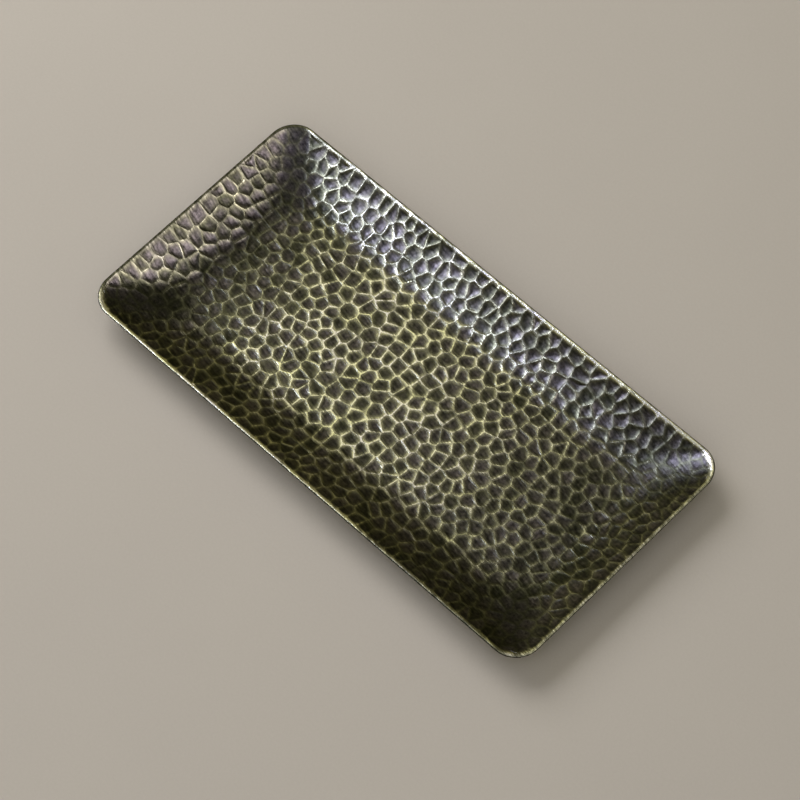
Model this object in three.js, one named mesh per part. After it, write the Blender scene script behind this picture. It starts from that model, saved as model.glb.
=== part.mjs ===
// Hammered brass fruit tray: one pressed sheet on four stick-on rubber feet.
// Millimetres, +Z up, +X along the tray, with the origin under its middle at the feet's underside.
import * as THREE from "three";

// Sheet: overall size at the rim, and the bends between the floor and the rim
const RIM_LENGTH = 250;
const RIM_WIDTH = 121.5;
const RIM_CORNER_RADIUS = 12;
const RIM_LAND = 1.0; // width of the polished top of the edge
const RIM_EDGE = 0.7; // height of the upright edge below it
const SHEET_THICKNESS = 1.0;
const TRAY_DEPTH = 11; // rim down to the ridges on the floor
const FLOOR_CORNER_RADIUS = 22;
const FLOOR_BEND_RADIUS = 28;
const FLOOR_BEND_ANGLE = 19; // slope where the wall leaves the floor's bend, degrees
const RIM_ANGLE = 35; // slope of the wall at the rim, degrees

// Hammer marks: shallow dimples in staggered rows, with ridges between them
const MARK_PITCH = 6.0;
const MARK_DEPTH = 0.35;
const MARK_SCATTER = 1.2; // how far a ridge corner strays from its even place
const RIDGE_ZIGZAG = 0.85; // how far ridge corners step into the rows, which gives six-sided marks

// Feet: round rubber bumpers on adhesive discs, set in from the edge of the flat floor
const FOOT_DIAMETER = 10;
const FOOT_TOP_DIAMETER = 9;
const FOOT_HEIGHT = 1.75;
const FOOT_EDGE_ROUND = 0.35;
const FOOT_INSET = 11;
const ADHESIVE_DIAMETER = 8.5;
const ADHESIVE_THICKNESS = 0.25;
const ROUND_STEPS = 28;

const UNDERSIDE_Z = FOOT_HEIGHT + ADHESIVE_THICKNESS;
const FLOOR_Z = UNDERSIDE_Z + SHEET_THICKNESS;
const RIM_Z = FLOOR_Z + TRAY_DEPTH;

// Section of the hollow: a long arc from the rim down, then the floor's bend
const rimSlope = THREE.MathUtils.degToRad(RIM_ANGLE);
const bendSlope = THREE.MathUtils.degToRad(FLOOR_BEND_ANGLE);
const bendDrop = FLOOR_BEND_RADIUS * (1 - Math.cos(bendSlope));
const wallRadius = (TRAY_DEPTH - bendDrop) / (Math.cos(bendSlope) - Math.cos(rimSlope));
const wallRun = wallRadius * (Math.sin(rimSlope) - Math.sin(bendSlope));
const hollowRun = wallRun + FLOOR_BEND_RADIUS * Math.sin(bendSlope);

// Half sizes of the hollow's mouth, inside the rim's land
const mouthX = RIM_LENGTH / 2 - RIM_LAND;
const mouthY = RIM_WIDTH / 2 - RIM_LAND;
const mouthRadius = RIM_CORNER_RADIUS - RIM_LAND;

const brass = new THREE.MeshStandardMaterial({ color: 0x6f6337, roughness: 0.38, metalness: 1.0 });
const rubber = new THREE.MeshStandardMaterial({ color: 0x1b1b1c, roughness: 0.85, metalness: 0.0 });
const adhesive = new THREE.MeshStandardMaterial({ color: 0xb9b4a6, roughness: 0.6, metalness: 0.0 });

// Slope of the hollow at a distance in from its mouth
function slopeAt(inset) {
  if (inset >= hollowRun) {
    return 0;
  }
  if (inset > wallRun) {
    return Math.asin(Math.sin(bendSlope) - (inset - wallRun) / FLOOR_BEND_RADIUS);
  }
  return Math.asin(Math.sin(rimSlope) - inset / wallRadius);
}

// Height of the hollow's ridges at a distance in from its mouth
function heightAt(inset) {
  const slope = slopeAt(inset);
  if (inset > wallRun) {
    return FLOOR_Z + FLOOR_BEND_RADIUS * (1 - Math.cos(slope));
  }
  return RIM_Z - wallRadius * (Math.cos(slope) - Math.cos(rimSlope));
}

// Corner radius of the hollow's plan, easing from the mouth to the floor and to none inside the floor
function cornerRadiusAt(inset) {
  if (inset < hollowRun) {
    return THREE.MathUtils.lerp(mouthRadius, FLOOR_CORNER_RADIUS, inset / hollowRun);
  }
  return Math.max(0, FLOOR_CORNER_RADIUS - (inset - hollowRun));
}

// Draws a point on a sharp rectangle outline in to the same outline with round corners
function roundCorner(x, y, halfX, halfY, radius) {
  const coreX = halfX - radius;
  const coreY = halfY - radius;
  const alongX = Math.abs(x) - coreX;
  const alongY = Math.abs(y) - coreY;
  if (radius <= 0 || alongX <= 0 || alongY <= 0) {
    return [x, y];
  }
  const roundX = coreX + alongX * Math.sqrt(1 - (alongY / radius) ** 2 / 2);
  const roundY = coreY + alongY * Math.sqrt(1 - (alongX / radius) ** 2 / 2);
  return [Math.sign(x) * roundX, Math.sign(y) * roundY];
}

// Point of the hollow's surface over a place on the flat rectangle, sunk by a depth
function hollowPoint(x, y, depth) {
  const inset = Math.max(0, Math.min(mouthX - Math.abs(x), mouthY - Math.abs(y)));
  const [planX, planY] = roundCorner(x, y, mouthX - inset, mouthY - inset, cornerRadiusAt(inset));
  return new THREE.Vector3(planX, planY, heightAt(inset) - depth);
}

// Even scatter between -1 and 1 that is the same in every run
function scatter(column, row, channel) {
  const wave = Math.sin(column * 12.9898 + row * 78.233 + channel * 37.719) * 43758.5453;
  return 2 * (wave - Math.floor(wave)) - 1;
}

function traySheet() {
  const points = [];
  const faces = [];

  function addPoint(point) {
    points.push(point);
    return points.length - 1;
  }

  // Triangles from a middle point round a closed loop
  function addFan(middle, loop) {
    loop.forEach((corner, step) => faces.push(middle, corner, loop[(step + 1) % loop.length]));
  }

  // Two triangles for each step between two loops of equal count
  function addBand(inner, outer) {
    inner.forEach((corner, step) => {
      const next = (step + 1) % inner.length;
      faces.push(corner, outer[step], outer[next], corner, outer[next], inner[next]);
    });
  }

  // Ridge corners: two for each mark along a row, straying inside the outline and sliding along it
  const columns = 2 * Math.round((2 * mouthX) / MARK_PITCH);
  const rows = Math.round((2 * mouthY) / (MARK_PITCH * Math.sin(Math.PI / 3)));
  const places = [];
  const ridge = [];
  for (let row = 0; row <= rows; row += 1) {
    places.push([]);
    ridge.push([]);
    for (let column = 0; column <= columns; column += 1) {
      const onEnd = column === 0 || column === columns;
      const onSide = row === 0 || row === rows;
      const zigzag = (column + row) % 2 === 0 ? RIDGE_ZIGZAG : -RIDGE_ZIGZAG;
      const strayX = onEnd ? 0 : 0.5 * MARK_SCATTER * scatter(column, row, 1);
      const strayY = onSide ? 0 : zigzag + MARK_SCATTER * scatter(column, row, 2);
      const x = (column / columns - 0.5) * 2 * mouthX + strayX;
      const y = (row / rows - 0.5) * 2 * mouthY + (onEnd ? 0 : strayY);
      places[row].push([x, y]);
      ridge[row].push(addPoint(hollowPoint(x, y, 0)));
    }
  }

  // Marks: each a fan from its sunken middle, with the rows staggered by half a mark
  for (let row = 0; row < rows; row += 1) {
    let start = 0;
    let columnsTaken = row % 2 === 0 ? 2 : 1;
    while (start < columns) {
      const end = Math.min(start + columnsTaken, columns);
      const loop = [];
      let sumX = 0;
      let sumY = 0;
      for (let column = start; column <= end; column += 1) {
        loop.push(ridge[row][column]);
        loop.unshift(ridge[row + 1][column]);
        sumX += places[row][column][0] + places[row + 1][column][0];
        sumY += places[row][column][1] + places[row + 1][column][1];
      }
      const middle = hollowPoint(sumX / loop.length, sumY / loop.length, MARK_DEPTH);
      addFan(addPoint(middle), loop);
      start = end;
      columnsTaken = 2;
    }
  }

  // Places round the mouth, counter-clockwise, which every loop outside it follows
  const round = [];
  for (let column = 0; column < columns; column += 1) {
    round.push([0, column]);
  }
  for (let row = 0; row < rows; row += 1) {
    round.push([row, columns]);
  }
  for (let column = columns; column > 0; column -= 1) {
    round.push([rows, column]);
  }
  for (let row = rows; row > 0; row -= 1) {
    round.push([row, 0]);
  }

  // Loop at a distance in from the mouth, negative outside it
  function addLoop(inset, radius, z) {
    const halfX = mouthX - inset;
    const halfY = mouthY - inset;
    return round.map(([row, column]) => {
      const [x, y] = places[row][column];
      const [planX, planY] = roundCorner((x * halfX) / mouthX, (y * halfY) / mouthY, halfX, halfY, radius);
      return addPoint(new THREE.Vector3(planX, planY, z));
    });
  }

  // Loop of the sheet's underside, one thickness square below the hollow's surface
  function addUndersideLoop(inset) {
    const outward = SHEET_THICKNESS * Math.sin(slopeAt(inset));
    const down = SHEET_THICKNESS * Math.cos(slopeAt(inset));
    return addLoop(inset - outward, cornerRadiusAt(inset) + outward, heightAt(inset) - down);
  }

  const bendMiddle = wallRun + (hollowRun - wallRun) / 2;
  const loops = [
    round.map(([row, column]) => ridge[row][column]),
    addLoop(-RIM_LAND, RIM_CORNER_RADIUS, RIM_Z),
    addLoop(-RIM_LAND, RIM_CORNER_RADIUS, RIM_Z - RIM_EDGE),
    addUndersideLoop(SHEET_THICKNESS),
    addUndersideLoop(wallRun / 2),
    addUndersideLoop(wallRun),
    addUndersideLoop(bendMiddle),
    addUndersideLoop(hollowRun),
  ];
  for (let step = 0; step + 1 < loops.length; step += 1) {
    addBand(loops[step], loops[step + 1]);
  }
  const undersideMiddle = addPoint(new THREE.Vector3(0, 0, UNDERSIDE_Z));
  addFan(undersideMiddle, loops[loops.length - 1].toReversed());

  const geometry = new THREE.BufferGeometry().setFromPoints(points);
  geometry.setIndex(faces);
  geometry.computeVertexNormals();
  return geometry;
}

// Rubber bumper with a rounded lower edge, narrowing a little to its top
function rubberFoot() {
  const radius = FOOT_DIAMETER / 2;
  const profile = [
    new THREE.Vector2(0, 0),
    new THREE.Vector2(radius - FOOT_EDGE_ROUND, 0),
    new THREE.Vector2(radius - FOOT_EDGE_ROUND * (1 - Math.SQRT1_2), FOOT_EDGE_ROUND * (1 - Math.SQRT1_2)),
    new THREE.Vector2(radius, FOOT_EDGE_ROUND),
    new THREE.Vector2(FOOT_TOP_DIAMETER / 2, FOOT_HEIGHT),
    new THREE.Vector2(0, FOOT_HEIGHT),
  ];
  return new THREE.LatheGeometry(profile, ROUND_STEPS).rotateX(Math.PI / 2);
}

function adhesiveDisc() {
  const radius = ADHESIVE_DIAMETER / 2;
  const disc = new THREE.CylinderGeometry(radius, radius, ADHESIVE_THICKNESS, ROUND_STEPS);
  return disc.rotateX(Math.PI / 2).translate(0, 0, ADHESIVE_THICKNESS / 2);
}

function namedMesh(name, geometry, material) {
  const mesh = new THREE.Mesh(geometry, material);
  mesh.name = name;
  return mesh;
}

const tray = new THREE.Group();
tray.add(namedMesh("tray_sheet", traySheet(), brass));

// One foot near each corner of the flat floor, front at -Y and right at +X
const footX = mouthX - hollowRun - FOOT_INSET;
const footY = mouthY - hollowRun - FOOT_INSET;
for (const [depthName, sideY] of [["front", -1], ["back", 1]]) {
  for (const [widthName, sideX] of [["left", -1], ["right", 1]]) {
    const place = `${depthName}_${widthName}`;
    const foot = new THREE.Group();
    foot.position.set(sideX * footX, sideY * footY, 0);
    foot.add(namedMesh(`rubber_foot_${place}`, rubberFoot(), rubber));
    const disc = namedMesh(`adhesive_disc_${place}`, adhesiveDisc(), adhesive);
    disc.position.z = FOOT_HEIGHT;
    foot.add(disc);
    tray.add(foot);
  }
}

export default tray;
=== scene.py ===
import math
import random

import bmesh
import bpy
from mathutils import Matrix, Vector


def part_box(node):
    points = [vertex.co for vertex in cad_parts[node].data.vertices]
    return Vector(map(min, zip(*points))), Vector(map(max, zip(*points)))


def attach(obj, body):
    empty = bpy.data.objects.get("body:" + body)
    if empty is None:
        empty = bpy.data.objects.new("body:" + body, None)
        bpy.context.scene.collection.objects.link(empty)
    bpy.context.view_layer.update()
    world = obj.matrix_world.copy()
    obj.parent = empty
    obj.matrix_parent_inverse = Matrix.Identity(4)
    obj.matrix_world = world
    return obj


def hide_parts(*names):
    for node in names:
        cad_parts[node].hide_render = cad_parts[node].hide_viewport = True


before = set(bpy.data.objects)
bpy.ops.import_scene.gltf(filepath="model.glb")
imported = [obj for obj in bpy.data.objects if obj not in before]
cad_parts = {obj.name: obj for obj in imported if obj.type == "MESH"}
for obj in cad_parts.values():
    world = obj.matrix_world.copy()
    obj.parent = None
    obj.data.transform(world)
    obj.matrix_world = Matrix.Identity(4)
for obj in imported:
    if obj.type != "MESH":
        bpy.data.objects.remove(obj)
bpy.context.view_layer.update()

# Tray sheet
# One sheet of brass, hammered all over, pressed to a shallow dish with flared walls and left with a bare
# edge. It is darkened chemically, then buffed, so the ridges between the hammer marks and the rim shine. Part
# of that shine, and part of the darkening from place to place, is painted highlight and painted shade.
rim_length = 0.250
rim_width = 0.1215
rim_corner_radius = 0.012
rim_land = 0.0010
rim_edge = 0.0007
sheet_thickness = 0.0010
tray_depth = 0.011
floor_corner_radius = 0.022
floor_bend_radius = 0.028
floor_bend_slope = math.radians(19)
rim_slope = math.radians(35)

rim_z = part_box("tray_sheet")[1][2]
floor_z = rim_z - tray_depth
mouth_x = rim_length / 2 - rim_land
mouth_y = rim_width / 2 - rim_land
mouth_radius = rim_corner_radius - rim_land
bend_drop = floor_bend_radius * (1 - math.cos(floor_bend_slope))
wall_radius = (tray_depth - bend_drop) / (math.cos(floor_bend_slope) - math.cos(rim_slope))
wall_run = wall_radius * (math.sin(rim_slope) - math.sin(floor_bend_slope))
hollow_run = wall_run + floor_bend_radius * math.sin(floor_bend_slope)
wall_arc = wall_radius * (rim_slope - floor_bend_slope)
bend_arc = floor_bend_radius * floor_bend_slope
radius_change = (floor_corner_radius - mouth_radius) / hollow_run


def slope_at(inset):
    """Slope of the hollow at a distance in from its mouth."""
    if inset >= hollow_run:
        return 0.0
    if inset > wall_run:
        return math.asin(math.sin(floor_bend_slope) - (inset - wall_run) / floor_bend_radius)
    return math.asin(math.sin(rim_slope) - inset / wall_radius)


def height_at(inset):
    """Height of the hollow's surface at a distance in from its mouth."""
    slope = slope_at(inset)
    if inset > wall_run:
        return floor_z + floor_bend_radius * (1 - math.cos(slope))
    return rim_z - wall_radius * (math.cos(slope) - math.cos(rim_slope))


def inset_down(arc):
    """Distance in from the mouth, seen from above, at a distance measured down the sheet."""
    if arc < wall_arc:
        return wall_radius * (math.sin(rim_slope) - math.sin(rim_slope - arc / wall_radius))
    if arc < wall_arc + bend_arc:
        slope = floor_bend_slope - (arc - wall_arc) / floor_bend_radius
        return wall_run + floor_bend_radius * (math.sin(floor_bend_slope) - math.sin(slope))
    return hollow_run + arc - wall_arc - bend_arc


def inset_at(x, y):
    """Distance in from the mouth at a place in plan, and the way out to the rim from there."""
    side_x = math.copysign(1.0, x)
    side_y = math.copysign(1.0, y)
    across = abs(x) - mouth_x + mouth_radius
    along = abs(y) - mouth_y + mouth_radius
    shift = 1 + radius_change
    square = 2 * shift ** 2 - radius_change ** 2
    linear = 2 * shift * (across + along) - 2 * mouth_radius * radius_change
    constant = across ** 2 + along ** 2 - mouth_radius ** 2
    inside = linear ** 2 - 4 * square * constant
    if inside > 0:
        inset = (math.sqrt(inside) - linear) / (2 * square)
        out = Vector((across + shift * inset, along + shift * inset))
        if out.x > 0 and out.y > 0:
            out.normalize()
            return inset, Vector((out.x * side_x, out.y * side_y, 0))
    if mouth_x - abs(x) < mouth_y - abs(y):
        return mouth_x - abs(x), Vector((side_x, 0, 0))
    return mouth_y - abs(y), Vector((0, side_y, 0))


def held(share):
    """A share kept between none and all."""
    return max(0.0, min(1.0, share))


# The walls count as wall from a little way up, and wholly so after a short run
wall_start = 0.002
wall_rise = 0.010


def wall_at(inset):
    """Zero over the floor, rising to one a little way up the walls."""
    return held((hollow_run - wall_start - inset) / wall_rise)


# The valley of each corner has its own breadth, and fades out where it meets the floor
valley_half_width = 0.009
far_right_breadth = 3.0
far_left_breadth = 2.0
near_right_breadth = 2.0
near_left_breadth = 1.4
valley_end = 1.3
valley_fade = 0.4


def valley_at(x, y):
    """Zero over the floor and the sides, rising to one in the valley of each corner."""
    from_end = mouth_x - abs(x)
    from_side = mouth_y - abs(y)
    if y > 0:
        breadth = far_right_breadth if x > 0 else far_left_breadth
    else:
        breadth = near_right_breadth if x > 0 else near_left_breadth
    beside = (from_end - from_side) / (valley_half_width * breadth)
    depth = max(from_end, from_side) / hollow_run
    return math.exp(-beside ** 2) * held((valley_end - depth) / valley_fade)


# The buffing wheel does most over the middle of the floor, and each wall and corner gets its own share. The
# field is partly real buffing and partly painted light: its fall toward the ends of the floor and its shares
# for the walls stand in for painted highlight and painted shade.
buffing_and_painted_light_middle = -0.015
right_fade = 0.100
right_sharpness = 2.5
left_fade = 0.070
left_sharpness = 4
left_wall_buffing_and_painted_light = 0.28
right_wall_buffing_and_painted_light = 0.26
near_wall_buffing_and_painted_light = 0.12
near_wall_gain = 0.46
near_wall_left_end = 0.35
far_wall_buffing_and_painted_light = 0.05
far_wall_gain = 0.42
near_corner_loss = 1.0
far_right_corner_loss = 0.50
far_left_corner_loss = 0.72


def buffing_and_painted_light_at(x, y):
    """How well the wheel reached, with painted light in it: best over the middle, less at the ends, hardly at
    all in the corners.
    """
    inset, out = inset_at(x, y)
    from_middle = x - buffing_and_painted_light_middle
    toward_right = math.exp(-(max(0.0, from_middle) / right_fade) ** right_sharpness)
    toward_left = math.exp(-(min(0.0, from_middle) / left_fade) ** left_sharpness)
    middle = toward_right * toward_left
    end_wall = left_wall_buffing_and_painted_light if x < 0 else right_wall_buffing_and_painted_light
    if y < 0:
        left_end = near_wall_left_end + (1 - near_wall_left_end) * toward_left
        side_wall = near_wall_buffing_and_painted_light + near_wall_gain * toward_right ** 2 * left_end
        corner_loss = near_corner_loss
    else:
        side_wall = far_wall_buffing_and_painted_light + far_wall_gain * toward_right
        corner_loss = far_right_corner_loss if x > 0 else far_left_corner_loss
    wall = side_wall * out.y ** 2 + end_wall * out.x ** 2
    return (middle + (wall - middle) * wall_at(inset)) * (1 - corner_loss * valley_at(x, y))


# The bare edge is brighter along the near side at its left and along the far side at its right, and duller at
# the ends. This is partly uneven rubbing and partly painted light: painted highlight where the edge is
# bright, painted shade at the ends and the far left corner.
near_rim_rub_and_painted_light = 1.50
near_rim_loss = 0.95
near_rim_fade_start = -0.015
near_rim_fade_run = 0.070
far_rim_rub_and_painted_light = 0.95
far_rim_gain_per_metre = 5.0
left_rim_rub_and_painted_light = 0.14
right_rim_rub_and_painted_light = 0.50
dark_corner_loss = 1.4


def rim_rub_and_painted_light_at(x, out):
    """How bright the bare edge is: best along the sides, dull at the ends, dark at the far left corner."""
    if out.y > 0:
        side_rub_and_painted_light = far_rim_rub_and_painted_light + far_rim_gain_per_metre * x
    else:
        side_rub_and_painted_light = near_rim_rub_and_painted_light - near_rim_loss * held((x - near_rim_fade_start) / near_rim_fade_run)
    end_rub_and_painted_light = left_rim_rub_and_painted_light if out.x < 0 else right_rim_rub_and_painted_light
    buffing_and_painted_light = side_rub_and_painted_light * out.y ** 2 + end_rub_and_painted_light * out.x ** 2
    if out.x < 0 and out.y > 0:
        buffing_and_painted_light *= 1 - dark_corner_loss * abs(out.x * out.y)
    return buffing_and_painted_light


def underside_point(x, y):
    """Point of the sheet's other face below a place on the hollow."""
    inset, out = inset_at(x, y)
    slope = slope_at(max(0.0, inset))
    place = Vector((x, y, height_at(max(0.0, inset))))
    place += out * sheet_thickness * math.sin(slope)
    place.z -= sheet_thickness * math.cos(slope)
    return place


# Hammer blows fall in staggered rows on the flat blank, each a little off its place and clear of earlier ones
mark_pitch = 0.0060
mark_scatter = 0.42
mark_room = 0.0033
least_rim_room = 0.22
most_rim_room = 0.48
even_row_stagger = 0.25
odd_row_stagger = 0.75
blow_scatter = random.Random(41)
blank_x = mouth_x + wall_arc + bend_arc - hollow_run
blank_y = mouth_y + wall_arc + bend_arc - hollow_run
row_step = mark_pitch * math.sin(math.pi / 3)
rows = round(2 * blank_y / row_step)
columns = round(2 * blank_x / mark_pitch)
blows = []
for row in range(rows):
    stagger = even_row_stagger if row % 2 == 0 else odd_row_stagger
    for column in range(columns):
        across = -blank_x + (column + stagger) * 2 * blank_x / columns
        along = -blank_y + (row + 0.5) * 2 * blank_y / rows
        across += mark_pitch * mark_scatter * blow_scatter.uniform(-1, 1)
        along += row_step * mark_scatter * blow_scatter.uniform(-1, 1)
        x = math.copysign(mouth_x - inset_down(max(0.0, blank_x - abs(across))), across)
        y = math.copysign(mouth_y - inset_down(max(0.0, blank_y - abs(along))), along)
        inset, out = inset_at(x, y)
        nearest = mark_pitch * blow_scatter.uniform(least_rim_room, most_rim_room)
        blow = Vector((x, y, 0)) - out * max(0.0, nearest - inset)
        if all((blow - other).length > mark_room for other in blows):
            blows.append(blow)


def cut_back(flat_shape, point, outward, tolerance):
    """Cut a flat shape straight across at a point, and drop what lies outward of it."""
    everything = flat_shape.verts[:] + flat_shape.edges[:] + flat_shape.faces[:]
    bmesh.ops.bisect_plane(
        flat_shape, geom=everything, dist=tolerance, plane_co=point, plane_no=outward, clear_outer=True
    )


cell_half_size = 1.2 * mark_pitch
neighbour_reach = 3 * mark_pitch
cell_tolerance = 1e-7


def mark_cell(blow):
    """A mark is what lies nearest its blow: a square there, cut back half way to its neighbours."""
    cell = bmesh.new()
    at_blow = Matrix.Translation(blow)
    bmesh.ops.create_grid(cell, x_segments=1, y_segments=1, size=cell_half_size, matrix=at_blow)
    for other in blows:
        step = other - blow
        if 0 < step.length < neighbour_reach:
            cut_back(cell, blow + step / 2, step, cell_tolerance)
    return cell


# The hammer settles part of the way to the middle of the room it has, which rounds the marks
mark_settling = 0.7
settling_turns = 3
settled_from_rim = 0.8 * mark_pitch
for turn in range(settling_turns):
    settled_blows = []
    for blow in blows:
        cell = mark_cell(blow)
        cell.faces.ensure_lookup_table()
        middle = cell.faces[0].calc_center_bounds()
        cell.free()
        inset, out = inset_at(blow.x, blow.y)
        if inset > settled_from_rim:
            settled_blows.append(blow.lerp(middle, mark_settling))
        else:
            settled_blows.append(blow)
    blows = settled_blows

# The settled marks are laid side by side and joined, with the shortest ridges closed up
shortest_ridge = 0.00030
flat_cells = bmesh.new()
cell_mesh = bpy.data.meshes.new("hammer_mark")
for blow in blows:
    cell = mark_cell(blow)
    cell.to_mesh(cell_mesh)
    cell.free()
    flat_cells.from_mesh(cell_mesh)
bmesh.ops.remove_doubles(flat_cells, verts=flat_cells.verts[:], dist=shortest_ridge)

# The hammered blank is cut to the mouth's outline, with flat cuts round each corner for its arc
corner_cuts = 14
outline_tolerance = 1e-6
shortest_edge = 0.00012
outline_cuts = [Vector((1, 0, 0)), Vector((-1, 0, 0)), Vector((0, 1, 0)), Vector((0, -1, 0))]
for cut in range(4 * corner_cuts):
    turn = math.radians(90) * (cut + 0.5) / corner_cuts
    outline_cuts.append(Vector((math.cos(turn), math.sin(turn), 0)))
for out in outline_cuts:
    core_x = math.copysign(mouth_x - mouth_radius, out.x)
    core_y = math.copysign(mouth_y - mouth_radius, out.y)
    touch = Vector((core_x, core_y, 0)) + mouth_radius * out
    cut_back(flat_cells, touch, out, outline_tolerance)
bmesh.ops.remove_doubles(flat_cells, verts=flat_cells.verts[:], dist=shortest_edge)
bmesh.ops.subdivide_edges(flat_cells, edges=flat_cells.edges[:], cuts=2)
flat_underside = flat_cells.copy()

# Each mark keeps half of the ridge round it, and its middle is split into rings that sink to a round hollow
ridge_half_width = 0.00053
ridge_width_shares = (0.6, 0.9, 1.1, 1.4)
smoothing_turns = 2
mark_stop = 0.0006
# The polish fades from the ridge down into each mark. This fringe is partly real wear and partly painted
# highlight for the light caught by the rounded edges of the marks.
mark_edge_polish_and_painted_highlight = 0.70
outer_ring_polish_and_painted_highlight = 0.21
inner_ring_polish_and_painted_highlight = 0.03
polish_and_painted_light = flat_cells.verts.layers.float.new("polish_and_painted_light")
hollow = flat_cells.verts.layers.float.new("hollow")
tone = flat_cells.verts.layers.float.new("tone")
buffing_and_painted_light = flat_cells.verts.layers.float.new("buffing_and_painted_light")
for corner in flat_cells.verts:
    corner[polish_and_painted_light] = 1.0
mark_faces = flat_cells.faces[:]
ridge_widths = random.Random(19)
ridge_widths.shuffle(mark_faces)
for kind, width_share in enumerate(ridge_width_shares):
    like_marks = mark_faces[kind::len(ridge_width_shares)]
    bmesh.ops.inset_individual(flat_cells, faces=like_marks, thickness=ridge_half_width * width_share)
mark_edge = list(dict.fromkeys(corner for face in mark_faces for corner in face.verts))
for turn in range(smoothing_turns):
    bmesh.ops.smooth_vert(flat_cells, verts=mark_edge, factor=0.5, use_axis_x=True, use_axis_y=True)
for corner in mark_edge:
    inset, out = inset_at(corner.co.x, corner.co.y)
    corner.co -= out * max(0.0, mark_stop - inset)
mark_tones = random.Random(7)
for face in mark_faces:
    face_tone = mark_tones.random()
    for corner in face.verts:
        corner[polish_and_painted_light] = mark_edge_polish_and_painted_highlight
        corner[tone] = face_tone
middles = bmesh.ops.poke(flat_cells, faces=mark_faces)["verts"]
for middle in middles:
    middle[hollow] = 1.0
spokes = [edge for middle in middles for edge in middle.link_edges]
bmesh.ops.subdivide_edges(flat_cells, edges=spokes, cuts=2)
for corner in flat_cells.verts:
    if corner[hollow] > 0.5:
        corner[polish_and_painted_light] = inner_ring_polish_and_painted_highlight
    elif corner[hollow] > 0:
        corner[polish_and_painted_light] = outer_ring_polish_and_painted_highlight

# The flat work is raised to the tray's form, with the marks sunk and the corners left smoother. The rim's
# shoulder is lifted and rubbed bright, and its brightness also carries the edge's painted highlight and
# painted shade.
mark_depth = 0.00030
least_depth_share = 0.5
tone_depth_share = 0.5
wall_depth_share = 0.15
ridge_height = 0.00012
floor_ridge_share = 0.55
wall_ridge_share = 0.45
wall_polish_and_painted_highlight_loss = 0.15
valley_smoothing = 0.8
shoulder_run = 0.0016
rim_rub = 0.0010
rim_rub_end = 1.6
for corner in flat_cells.verts:
    x, y = corner.co.x, corner.co.y
    inset, out = inset_at(x, y)
    up_wall = wall_at(inset)
    depth_share = least_depth_share + tone_depth_share * corner[tone] + wall_depth_share * up_wall
    sink = mark_depth * depth_share * (1 - (1 - corner[hollow]) ** 2)
    if corner[polish_and_painted_light] < 1:
        sink += ridge_height * (floor_ridge_share + wall_ridge_share * up_wall)
        corner[polish_and_painted_light] *= 1 - wall_polish_and_painted_highlight_loss * up_wall
    corner.co.z = height_at(max(0.0, inset)) - sink * (1 - valley_smoothing * valley_at(x, y))
    if 0 < inset < shoulder_run:
        corner.co.z += math.tan(rim_slope) * inset * (1 - inset / shoulder_run) ** 2
    rubbed = held(rim_rub_end - inset / rim_rub)
    corner[polish_and_painted_light] = max(corner[polish_and_painted_light], rubbed)
    corner[buffing_and_painted_light] = buffing_and_painted_light_at(x, y) * (1 - rubbed) + rim_rub_and_painted_light_at(x, out) * rubbed

# The bare edge is drawn out from the mouth and turned over in a small round to the underside. Only the top
# of the turn is rubbed bright.
rim_turn = [90, 60, 30, 0, -30, -60]
edge_loop = [edge for edge in flat_cells.edges if edge.is_boundary]
mouth_places = {corner: corner.co.copy() for edge in edge_loop for corner in edge.verts}
for angle in rim_turn + [None]:
    drawn = bmesh.ops.extrude_edge_only(flat_cells, edges=edge_loop)["geom"]
    edge_loop = [item for item in drawn if isinstance(item, bmesh.types.BMEdge) and item.is_boundary]
    ring_places = {}
    for corner in [item for item in drawn if isinstance(item, bmesh.types.BMVert)]:
        drawn_from = [edge.other_vert(corner) for edge in corner.link_edges]
        start = next(mouth_places[other] for other in drawn_from if other in mouth_places)
        ring_places[corner] = start
        inset, out = inset_at(start.x, start.y)
        # Past the top of the turn the edge keeps the dark skin, partly real unpolished patina and partly a
        # painted shade for the dark line along the outer edge.
        corner[polish_and_painted_light] = 1.0 if angle == rim_turn[0] else 0.0
        corner[buffing_and_painted_light] = rim_rub_and_painted_light_at(start.x, out)
        if angle is None:
            corner.co = underside_point(start.x, start.y)
        else:
            lean = math.radians(angle)
            reach = rim_land / 2 * (1 + math.cos(lean))
            corner.co = start + out * reach
            corner.co.z = rim_z - rim_edge / 2 * (1 - math.sin(lean))
    mouth_places = ring_places

# The underside is smoother, with a faint bump behind each mark, apart from the flats that the feet stick to
underside_bump = 0.00010
underside_polish = 0.25
bump_polish = 0.75
underside_buffing = 0.6
seam_tolerance = 0.000002
foot_places = ("front_left", "front_right", "back_left", "back_right")
foot_flats = []
for foot_place in foot_places:
    low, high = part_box("adhesive_disc_" + foot_place)
    flat_middle = Vector(((low[0] + high[0]) / 2, (low[1] + high[1]) / 2))
    flat_radius = (high[0] - low[0]) / 2 + mark_pitch / 2
    foot_flats.append((flat_middle, flat_radius))
under_polish = flat_underside.verts.layers.float.new("polish_and_painted_light")
under_buffing = flat_underside.verts.layers.float.new("buffing_and_painted_light")
bumps = bmesh.ops.poke(flat_underside, faces=flat_underside.faces[:])["verts"]
for corner in flat_underside.verts:
    corner.co = underside_point(corner.co.x, corner.co.y)
    corner[under_polish] = underside_polish
    corner[under_buffing] = underside_buffing
for bump in bumps:
    bump[under_polish] = bump_polish
    if all((bump.co.xy - flat_middle).length >= flat_radius for flat_middle, flat_radius in foot_flats):
        bump.co.z -= underside_bump
bmesh.ops.reverse_faces(flat_underside, faces=flat_underside.faces[:])
flat_underside.to_mesh(cell_mesh)
flat_cells.from_mesh(cell_mesh)
bmesh.ops.remove_doubles(flat_cells, verts=flat_cells.verts[:], dist=seam_tolerance)
flat_cells.normal_update()

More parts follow.
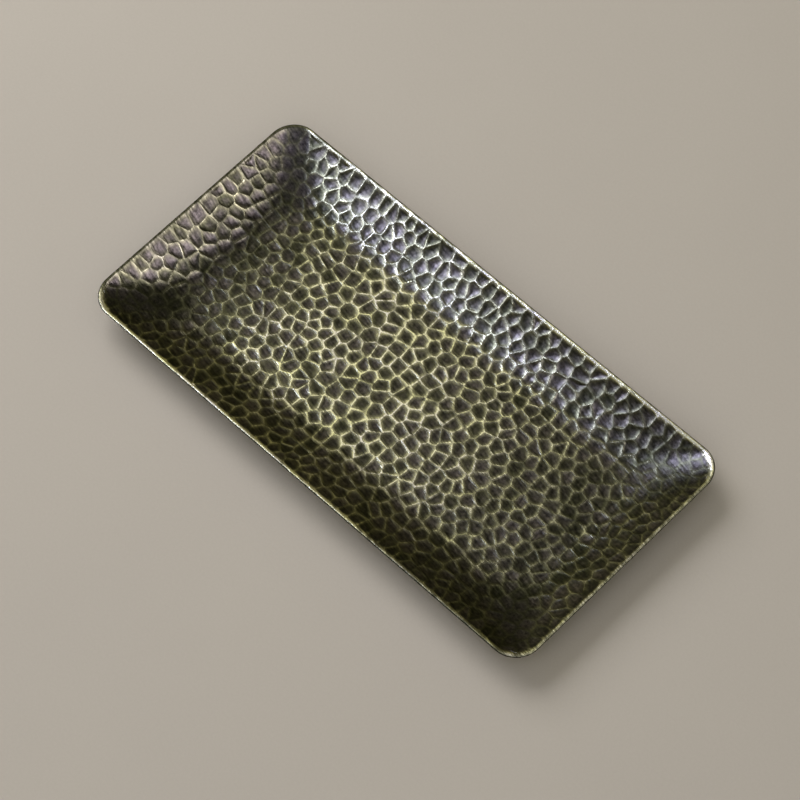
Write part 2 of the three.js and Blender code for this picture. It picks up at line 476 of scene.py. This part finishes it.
tray_mesh = bpy.data.meshes.new("tray_sheet")
flat_cells.to_mesh(tray_mesh)
flat_cells.free()
flat_underside.free()
bpy.data.meshes.remove(cell_mesh)
tray_sheet = bpy.data.objects.new("hammered_tray_sheet", tray_mesh)
bpy.context.collection.objects.link(tray_sheet)
for face in tray_mesh.polygons:
    face.use_smooth = True


def add_node(tree, kind, settings, sockets):
    """Add a node, choose its settings, then fill or link its sockets."""
    node = tree.nodes.new(kind)
    for name, value in settings.items():
        setattr(node, name, value)
    for socket, value in sockets.items():
        if isinstance(value, bpy.types.NodeSocket):
            tree.links.new(value, node.inputs[socket])
        else:
            node.inputs[socket].default_value = value
    return node


def own_value(tree, name):
    """A value that the mesh carries on its vertices."""
    return add_node(tree, "ShaderNodeAttribute", {"attribute_name": name}, {}).outputs["Fac"]


def noise(tree, place, scale, detail):
    """Soft random patches, so many to the metre."""
    node = add_node(tree, "ShaderNodeTexNoise", {}, {"Vector": place, "Scale": scale, "Detail": detail})
    return node.outputs["Fac"]


def spread(tree, value, between, onto=(0.0, 1.0)):
    """Stretch a value from one range onto another, and hold it at the ends."""
    ends = {"From Min": between[0], "From Max": between[1], "To Min": onto[0], "To Max": onto[1]}
    return add_node(tree, "ShaderNodeMapRange", {}, {"Value": value, **ends}).outputs["Result"]


def calculate(tree, operation, *values):
    """One step of arithmetic on two or three values."""
    return add_node(tree, "ShaderNodeMath", {"operation": operation}, dict(enumerate(values))).outputs[0]


def mix_colours(tree, share, first, second):
    """Run from the first colour to the second. A Mix node keeps its colours on sockets 6 and 7."""
    return add_node(tree, "ShaderNodeMix", {"data_type": "RGBA"}, {0: share, 6: first, 7: second}).outputs[2]


olive_skin = (0.031, 0.032, 0.015, 1)
purple_skin = (0.080, 0.070, 0.058, 1)
yellow_alloy = (0.88, 0.86, 0.45, 1)
pale_alloy = (0.88, 0.83, 0.72, 1)
dull_brass = (0.56, 0.535, 0.295, 1)
antique_brass = bpy.data.materials.new("antique_brass")
antique_brass.use_nodes = True
brass = antique_brass.node_tree
brass_shader = brass.nodes["Principled BSDF"]
place = add_node(brass, "ShaderNodeTexCoord", {}, {}).outputs["Object"]
ridge = own_value(brass, "polish_and_painted_light")
mark_tone = own_value(brass, "tone")
mark_middle = own_value(brass, "hollow")
buffed_with_painted_light = own_value(brass, "buffing_and_painted_light")

# Wire brushing along the tray leaves fine streaks in the skin, faint in the corners that the brush misses
brush_angle = 0.2
streaks_per_metre = (200.0, 1050.0, 200.0)
no_streak = 0.5
brushed_way = add_node(
    brass, "ShaderNodeVectorRotate", {"rotation_type": "Z_AXIS"}, {"Vector": place, "Angle": brush_angle}
).outputs[0]
brushed_place = add_node(
    brass, "ShaderNodeMapping", {}, {"Vector": brushed_way, "Scale": streaks_per_metre}
).outputs[0]
streaks = noise(brass, brushed_place, scale=1.0, detail=2.0)
brush_reach = spread(brass, buffed_with_painted_light, between=(0.0, 0.15), onto=(0.3, 1.0))
brushing = add_node(brass, "ShaderNodeMix", {}, {0: brush_reach, 2: no_streak, 3: streaks}).outputs[0]
streaking = spread(brass, brushing, between=(0.32, 0.68), onto=(0.55, 1.45))

# Buffing takes the dark skin off the ridges, unevenly and least in the corners. This worn brightness also
# carries painted light: the fringe down into each mark as painted highlight, and the field's fall from place
# to place as painted highlight and painted shade.
wear_gain = 0.88
least_wear = 0.12
wear_contrast = 1.4
wear_patches = noise(brass, place, scale=210.0, detail=2.0)
reach = calculate(brass, "MULTIPLY_ADD", buffed_with_painted_light, wear_gain, least_wear)
uneven = spread(brass, wear_patches, between=(0.3, 0.7), onto=(0.58, 1.42))
wear_and_painted_light = calculate(brass, "MULTIPLY", ridge, reach)
wear_and_painted_light = calculate(brass, "MULTIPLY", wear_and_painted_light, uneven)
wear_and_painted_light = calculate(brass, "MULTIPLY", wear_and_painted_light, streaking)
bright = add_node(
    brass, "ShaderNodeMath", {"operation": "POWER", "use_clamp": True}, {0: wear_and_painted_light, 1: wear_contrast}
).outputs[0]

# The skin itself runs from olive black at the edge of a mark to purple brown in its middle, and in clouds
tone_share = 0.65
middle_share = 0.45
skin_clouds = noise(brass, place, scale=70.0, detail=3.0)
skin_tone = calculate(brass, "MULTIPLY_ADD", mark_tone, tone_share, skin_clouds)
skin_tone = calculate(brass, "MULTIPLY_ADD", mark_middle, middle_share, skin_tone)
skin_mix = spread(brass, skin_tone, between=(0.58, 1.44))
dark_skin = mix_colours(brass, skin_mix, olive_skin, purple_skin)
# The skin grows darker where that field is low: real thicker patina in the corners, and painted shade toward
# the ends of the floor and on the walls.
thick_skin_and_painted_shade = spread(brass, buffed_with_painted_light, between=(0.0, 0.5), onto=(0.75, 1.0))
mottle = noise(brass, place, scale=800.0, detail=4.0)
mottling = spread(brass, mottle, between=(0.3, 0.7), onto=(0.5, 1.5))
skin_shade = calculate(brass, "MULTIPLY", thick_skin_and_painted_shade, mottling)
skin_shade = calculate(brass, "MULTIPLY", skin_shade, streaking)
shaded_skin = add_node(
    brass, "ShaderNodeVectorMath", {"operation": "SCALE"}, {0: dark_skin, "Scale": skin_shade}
).outputs[0]

# Where it is bare, the brass is dull on the flanks of a ridge and bright along its crest: partly fresher
# metal on the crest, partly a painted highlight along it.
alloy_mix = spread(brass, skin_clouds, between=(0.35, 0.65))
bare_alloy = mix_colours(brass, alloy_mix, yellow_alloy, pale_alloy)
crest = spread(brass, ridge, between=(0.62, 1.0))
crest_polish_and_painted_highlight = calculate(brass, "MULTIPLY", bright, crest)
bare_brass = mix_colours(brass, crest_polish_and_painted_highlight, dull_brass, bare_alloy)
surface = mix_colours(brass, bright, shaded_skin, bare_brass)
roughness = spread(brass, bright, between=(0.0, 1.0), onto=(0.28, 0.24))

# The streaks stand in slight relief, over the grain of the skin
streak_relief = 3.0
fine_grain = noise(brass, place, scale=1900.0, detail=3.0)
relief = calculate(brass, "MULTIPLY_ADD", brushing, streak_relief, fine_grain)
bumped = add_node(brass, "ShaderNodeBump", {}, {"Height": relief, "Strength": 0.8, "Distance": 0.00006})
brass.links.new(surface, brass_shader.inputs["Base Color"])
brass.links.new(roughness, brass_shader.inputs["Roughness"])
brass.links.new(bumped.outputs["Normal"], brass_shader.inputs["Normal"])
brass_shader.inputs["Metallic"].default_value = 1.0
tray_mesh.materials.append(antique_brass)
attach(tray_sheet, "root")
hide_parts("tray_sheet")

# Adhesive discs
# A disc of clear double-sided film holds each foot to the flat of the underside. The discs are punched out
# of a sheet and pressed on by hand, and they turn milky with small air bubbles.
disc_edge = 0.00005
turn_steps = 64
crease_angle = math.radians(40)
pole_tolerance = 1e-7


def spun_piece(name, profile, centre):
    """A round piece: its half section, as distance out and height, spun about an upright line."""
    shape = bmesh.new()
    corners = [shape.verts.new((out, 0, height)) for out, height in profile]
    section = corners + [shape.edges.new(pair) for pair in zip(corners, corners[1:])]
    bmesh.ops.spin(
        shape,
        geom=section,
        cent=(0, 0, 0),
        axis=(0, 0, 1),
        angle=2 * math.pi,
        steps=turn_steps,
        use_merge=True,
    )
    bmesh.ops.remove_doubles(shape, verts=shape.verts[:], dist=pole_tolerance)
    bmesh.ops.recalc_face_normals(shape, faces=shape.faces[:])
    bmesh.ops.translate(shape, verts=shape.verts[:], vec=centre)
    mesh = bpy.data.meshes.new(name)
    shape.to_mesh(mesh)
    shape.free()
    for face in mesh.polygons:
        face.use_smooth = True
    mesh.set_sharp_from_angle(angle=crease_angle)
    piece = bpy.data.objects.new(name, mesh)
    bpy.context.collection.objects.link(piece)
    return piece


# Fine grain with slow clouds in it, for the film, the rubber and the table
clouded_grain = bpy.data.node_groups.new("clouded_grain", "ShaderNodeTree")
clouded_grain.interface.new_socket("Place", in_out="INPUT", socket_type="NodeSocketVector")
clouded_grain.interface.new_socket("Grain Scale", in_out="INPUT", socket_type="NodeSocketFloat")
clouded_grain.interface.new_socket("Cloud Scale", in_out="INPUT", socket_type="NodeSocketFloat")
clouded_grain.interface.new_socket("Shade", in_out="OUTPUT", socket_type="NodeSocketFloat")
clouded_grain.interface.new_socket("Height", in_out="OUTPUT", socket_type="NodeSocketFloat")
grain_in = add_node(clouded_grain, "NodeGroupInput", {}, {}).outputs
grain_noise = noise(clouded_grain, grain_in["Place"], scale=grain_in["Grain Scale"], detail=4.0)
cloud_noise = noise(clouded_grain, grain_in["Place"], scale=grain_in["Cloud Scale"], detail=2.0)
grain_sum = calculate(clouded_grain, "ADD", grain_noise, cloud_noise)
grain_shade = spread(clouded_grain, grain_sum, between=(0.7, 1.3))
add_node(clouded_grain, "NodeGroupOutput", {}, {"Shade": grain_shade, "Height": grain_noise})


def grained_material(name, grain_scale, cloud_scale, dark, light, roughness_range, bump_distance):
    """A material that runs between two colours and two roughnesses with the clouded grain."""
    material = bpy.data.materials.new(name)
    material.use_nodes = True
    tree = material.node_tree
    shader = tree.nodes["Principled BSDF"]
    place = add_node(tree, "ShaderNodeTexCoord", {}, {}).outputs["Object"]
    grain = add_node(
        tree, "ShaderNodeGroup", {"node_tree": clouded_grain},
        {"Place": place, "Grain Scale": grain_scale, "Cloud Scale": cloud_scale},
    ).outputs
    colour = mix_colours(tree, grain["Shade"], dark, light)
    rough = spread(tree, grain["Shade"], between=(0.0, 1.0), onto=roughness_range)
    bump = add_node(
        tree, "ShaderNodeBump", {}, {"Height": grain["Height"], "Strength": 0.4, "Distance": bump_distance}
    )
    tree.links.new(colour, shader.inputs["Base Color"])
    tree.links.new(rough, shader.inputs["Roughness"])
    tree.links.new(bump.outputs["Normal"], shader.inputs["Normal"])
    return material


adhesive_film = grained_material(
    "adhesive_film",
    grain_scale=2600.0,
    cloud_scale=500.0,
    dark=(0.47, 0.44, 0.37, 1),
    light=(0.66, 0.63, 0.55, 1),
    roughness_range=(0.35, 0.65),
    bump_distance=0.00003,
)
bubble_white = (0.80, 0.78, 0.72, 1)
film_tree = adhesive_film.node_tree
film_place = film_tree.nodes["Texture Coordinate"].outputs["Object"]
bubbles = add_node(film_tree, "ShaderNodeTexVoronoi", {}, {"Vector": film_place, "Scale": 1400.0})
bubble_mask = spread(film_tree, bubbles.outputs["Distance"], between=(0.16, 0.24), onto=(1.0, 0.0))
milky = mix_colours(film_tree, bubble_mask, film_tree.nodes["Mix"].outputs[2], bubble_white)
film_tree.links.new(milky, film_tree.nodes["Principled BSDF"].inputs["Base Color"])

for foot_place in foot_places:
    low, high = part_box("adhesive_disc_" + foot_place)
    disc_radius = (high[0] - low[0]) / 2
    disc_height = high[2] - low[2]
    disc_section = [
        (0, 0),
        (disc_radius - disc_edge, 0),
        (disc_radius, disc_edge),
        (disc_radius, disc_height - disc_edge),
        (disc_radius - disc_edge, disc_height),
        (0, disc_height),
    ]
    centre = ((low[0] + high[0]) / 2, (low[1] + high[1]) / 2, low[2])
    disc = spun_piece("film_disc_" + foot_place, disc_section, centre)
    disc.data.materials.append(adhesive_film)
    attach(disc, "root")
    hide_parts("adhesive_disc_" + foot_place)

# Rubber feet
# Four small moulded feet stand the tray clear of the table and keep it from sliding. Each tapers a little
# to the film above, has a rounded lower edge, and gets dusty and scuffed where it meets the table.
foot_top_radius = 0.0045
foot_round = 0.00035
foot_top_round = 0.00015
round_steps = 5
dust = (0.16, 0.15, 0.135, 1)
dust_height = 0.0006

foot_rubber = grained_material(
    "foot_rubber",
    grain_scale=3000.0,
    cloud_scale=420.0,
    dark=(0.010, 0.010, 0.0105, 1),
    light=(0.024, 0.024, 0.0245, 1),
    roughness_range=(0.72, 0.92),
    bump_distance=0.00005,
)
rubber_tree = foot_rubber.node_tree
rubber_place = rubber_tree.nodes["Texture Coordinate"].outputs["Object"]
rubber_height = add_node(rubber_tree, "ShaderNodeSeparateXYZ", {}, {0: rubber_place}).outputs["Z"]
near_table = spread(rubber_tree, rubber_height, between=(0.0, dust_height), onto=(0.8, 0.0))
scuff_noise = noise(rubber_tree, rubber_place, scale=700.0, detail=4.0)
scuffs = calculate(rubber_tree, "MULTIPLY", near_table, scuff_noise)
dusty = mix_colours(rubber_tree, scuffs, rubber_tree.nodes["Mix"].outputs[2], dust)
rubber_tree.links.new(dusty, rubber_tree.nodes["Principled BSDF"].inputs["Base Color"])

for foot_place in foot_places:
    low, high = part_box("rubber_foot_" + foot_place)
    foot_radius = (high[0] - low[0]) / 2
    foot_height = high[2] - low[2]
    foot_section = [(0, 0)]
    for step in range(round_steps + 1):
        lean = math.radians(90) * step / round_steps
        out = foot_radius - foot_round * (1 - math.sin(lean))
        foot_section.append((out, foot_round * (1 - math.cos(lean))))
    for step in range(round_steps + 1):
        lean = math.radians(90) * step / round_steps
        out = foot_top_radius - foot_top_round * (1 - math.cos(lean))
        foot_section.append((out, foot_height - foot_top_round * (1 - math.sin(lean))))
    foot_section.append((0, foot_height))
    centre = ((low[0] + high[0]) / 2, (low[1] + high[1]) / 2, low[2])
    foot = spun_piece("moulded_foot_" + foot_place, foot_section, centre)
    foot.data.materials.append(foot_rubber)
    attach(foot, "root")
    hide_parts("rubber_foot_" + foot_place)

# Table top
# A plain pale surface with a matt painted finish, which the tray stands on. It is flat and has no pattern,
# and it is wide enough to fill the view.
table_half_width = 4.0
table_mesh = bpy.data.meshes.new("table_top")
table_shape = bmesh.new()
bmesh.ops.create_grid(table_shape, x_segments=1, y_segments=1, size=table_half_width)
table_shape.to_mesh(table_mesh)
table_shape.free()
table_top = bpy.data.objects.new("table_top", table_mesh)
bpy.context.collection.objects.link(table_top)
table_finish = grained_material(
    "table_finish",
    grain_scale=900.0,
    cloud_scale=9.0,
    dark=(0.595, 0.550, 0.485, 1),
    light=(0.625, 0.580, 0.515, 1),
    roughness_range=(0.75, 0.85),
    bump_distance=0.00002,
)
table_mesh.materials.append(table_finish)


# Light
# Round soft panels stand about the tray in a dim warm room, and all face it. The cool windows and the left
# and right panels light shiny surfaces only. The table and fill panels light matt surfaces only.
def soft_panel(name, place, size, watts, colour, on_table=True, in_metal=True):
    """A round soft panel that faces the tray, and may be kept off the table or out of the metal."""
    light = bpy.data.lights.new(name, "AREA")
    light.shape = "DISK"
    light.size = size
    light.energy = watts
    light.color = colour
    panel = bpy.data.objects.new(name, light)
    panel.location = place
    panel.rotation_euler = Vector(place).to_track_quat("Z", "Y").to_euler()
    panel.visible_diffuse = on_table
    panel.visible_glossy = in_metal
    bpy.context.collection.objects.link(panel)


soft_panel(
    "left_panel", place=(-1.15, 0.40, 0.45), size=0.7, watts=0.40,
    colour=(1.0, 0.95, 0.72), on_table=False,
)
soft_panel(
    "ceiling_panel", place=(-0.66, 0.32, 1.10), size=0.55, watts=0.82,
    colour=(1.0, 0.98, 0.92),
)
soft_panel(
    "overhead_window", place=(0.22, -0.30, 1.28), size=0.7, watts=1.5,
    colour=(0.84, 0.84, 1.45), on_table=False,
)
soft_panel(
    "near_window", place=(-0.80, -0.33, 1.10), size=0.36, watts=4.75,
    colour=(0.82, 0.91, 1.52), on_table=False,
)
soft_panel(
    "far_window", place=(-1.02, -0.82, 1.00), size=0.42, watts=6.4,
    colour=(0.85, 0.91, 1.45), on_table=False,
)
soft_panel(
    "right_panel", place=(0.69, 0.10, 1.0), size=1.1, watts=13.2,
    colour=(0.97, 0.91, 1.15), on_table=False,
)
soft_panel(
    "table_panel", place=(-0.90, 0.16, 0.88), size=1.0, watts=7.9,
    colour=(1.0, 0.985, 1.0), in_metal=False,
)
soft_panel(
    "fill_panel", place=(0.45, -0.70, 0.90), size=1.4, watts=3.2,
    colour=(1.0, 0.985, 1.0), in_metal=False,
)

# The room is darker and yellower toward the floor, with its up direction leaning a little to the left
room_up = (-0.24, 0.0, 0.97)
room = bpy.data.worlds.new("room")
bpy.context.scene.world = room
room.use_nodes = True
room_tree = room.node_tree
room_place = add_node(room_tree, "ShaderNodeTexCoord", {}, {}).outputs["Generated"]
room_height = add_node(
    room_tree, "ShaderNodeVectorMath", {"operation": "DOT_PRODUCT"}, {0: room_place, 1: room_up}
).outputs["Value"]
room_shade = add_node(room_tree, "ShaderNodeValToRGB", {}, {0: room_height})
room_bands = room_shade.color_ramp.elements
room_bands[0].color = (0.165, 0.15, 0.070, 1)
room_bands[1].color = (0.22, 0.21, 0.18, 1)
room_bands.new(0.36).color = (0.20, 0.182, 0.092, 1)
room_bands.new(0.76).color = (0.22, 0.21, 0.17, 1)
room_bands.new(0.95).color = (0.22, 0.21, 0.18, 1)
room_tree.links.new(room_shade.outputs["Color"], room_tree.nodes["Background"].inputs["Color"])
bpy.context.scene.view_settings.view_transform = "Standard"

# Camera
# It stands off the front right corner and looks down steeply at the tray, from far enough that the sides
# hardly draw together. It is turned a little about its own axis.
camera_turn = math.radians(52.6654)
camera_rise = math.radians(61.1196)
camera_roll = math.radians(-8.9417)
camera_distance = 1.42166
focal_length_in_pixels = 3488.3
picture_width_in_pixels = 800
aim = Vector((0.00692, -0.00694, rim_z))
back = Vector((
    math.sin(camera_turn) * math.cos(camera_rise),
    -math.cos(camera_turn) * math.cos(camera_rise),
    math.sin(camera_rise),
))
camera = bpy.data.cameras.new("camera")
camera.sensor_width = 36
camera.lens = focal_length_in_pixels / picture_width_in_pixels * camera.sensor_width
viewer = bpy.data.objects.new("camera", camera)
viewer.location = aim + back * camera_distance
right = Vector((math.cos(camera_turn), math.sin(camera_turn), 0))
up = back.cross(right)
turned_right = right * math.cos(camera_roll) + up * math.sin(camera_roll)
turned_up = up * math.cos(camera_roll) - right * math.sin(camera_roll)
facing = Matrix((turned_right, turned_up, back)).transposed()
viewer.rotation_euler = facing.to_euler()
bpy.context.collection.objects.link(viewer)
bpy.context.scene.camera = viewer
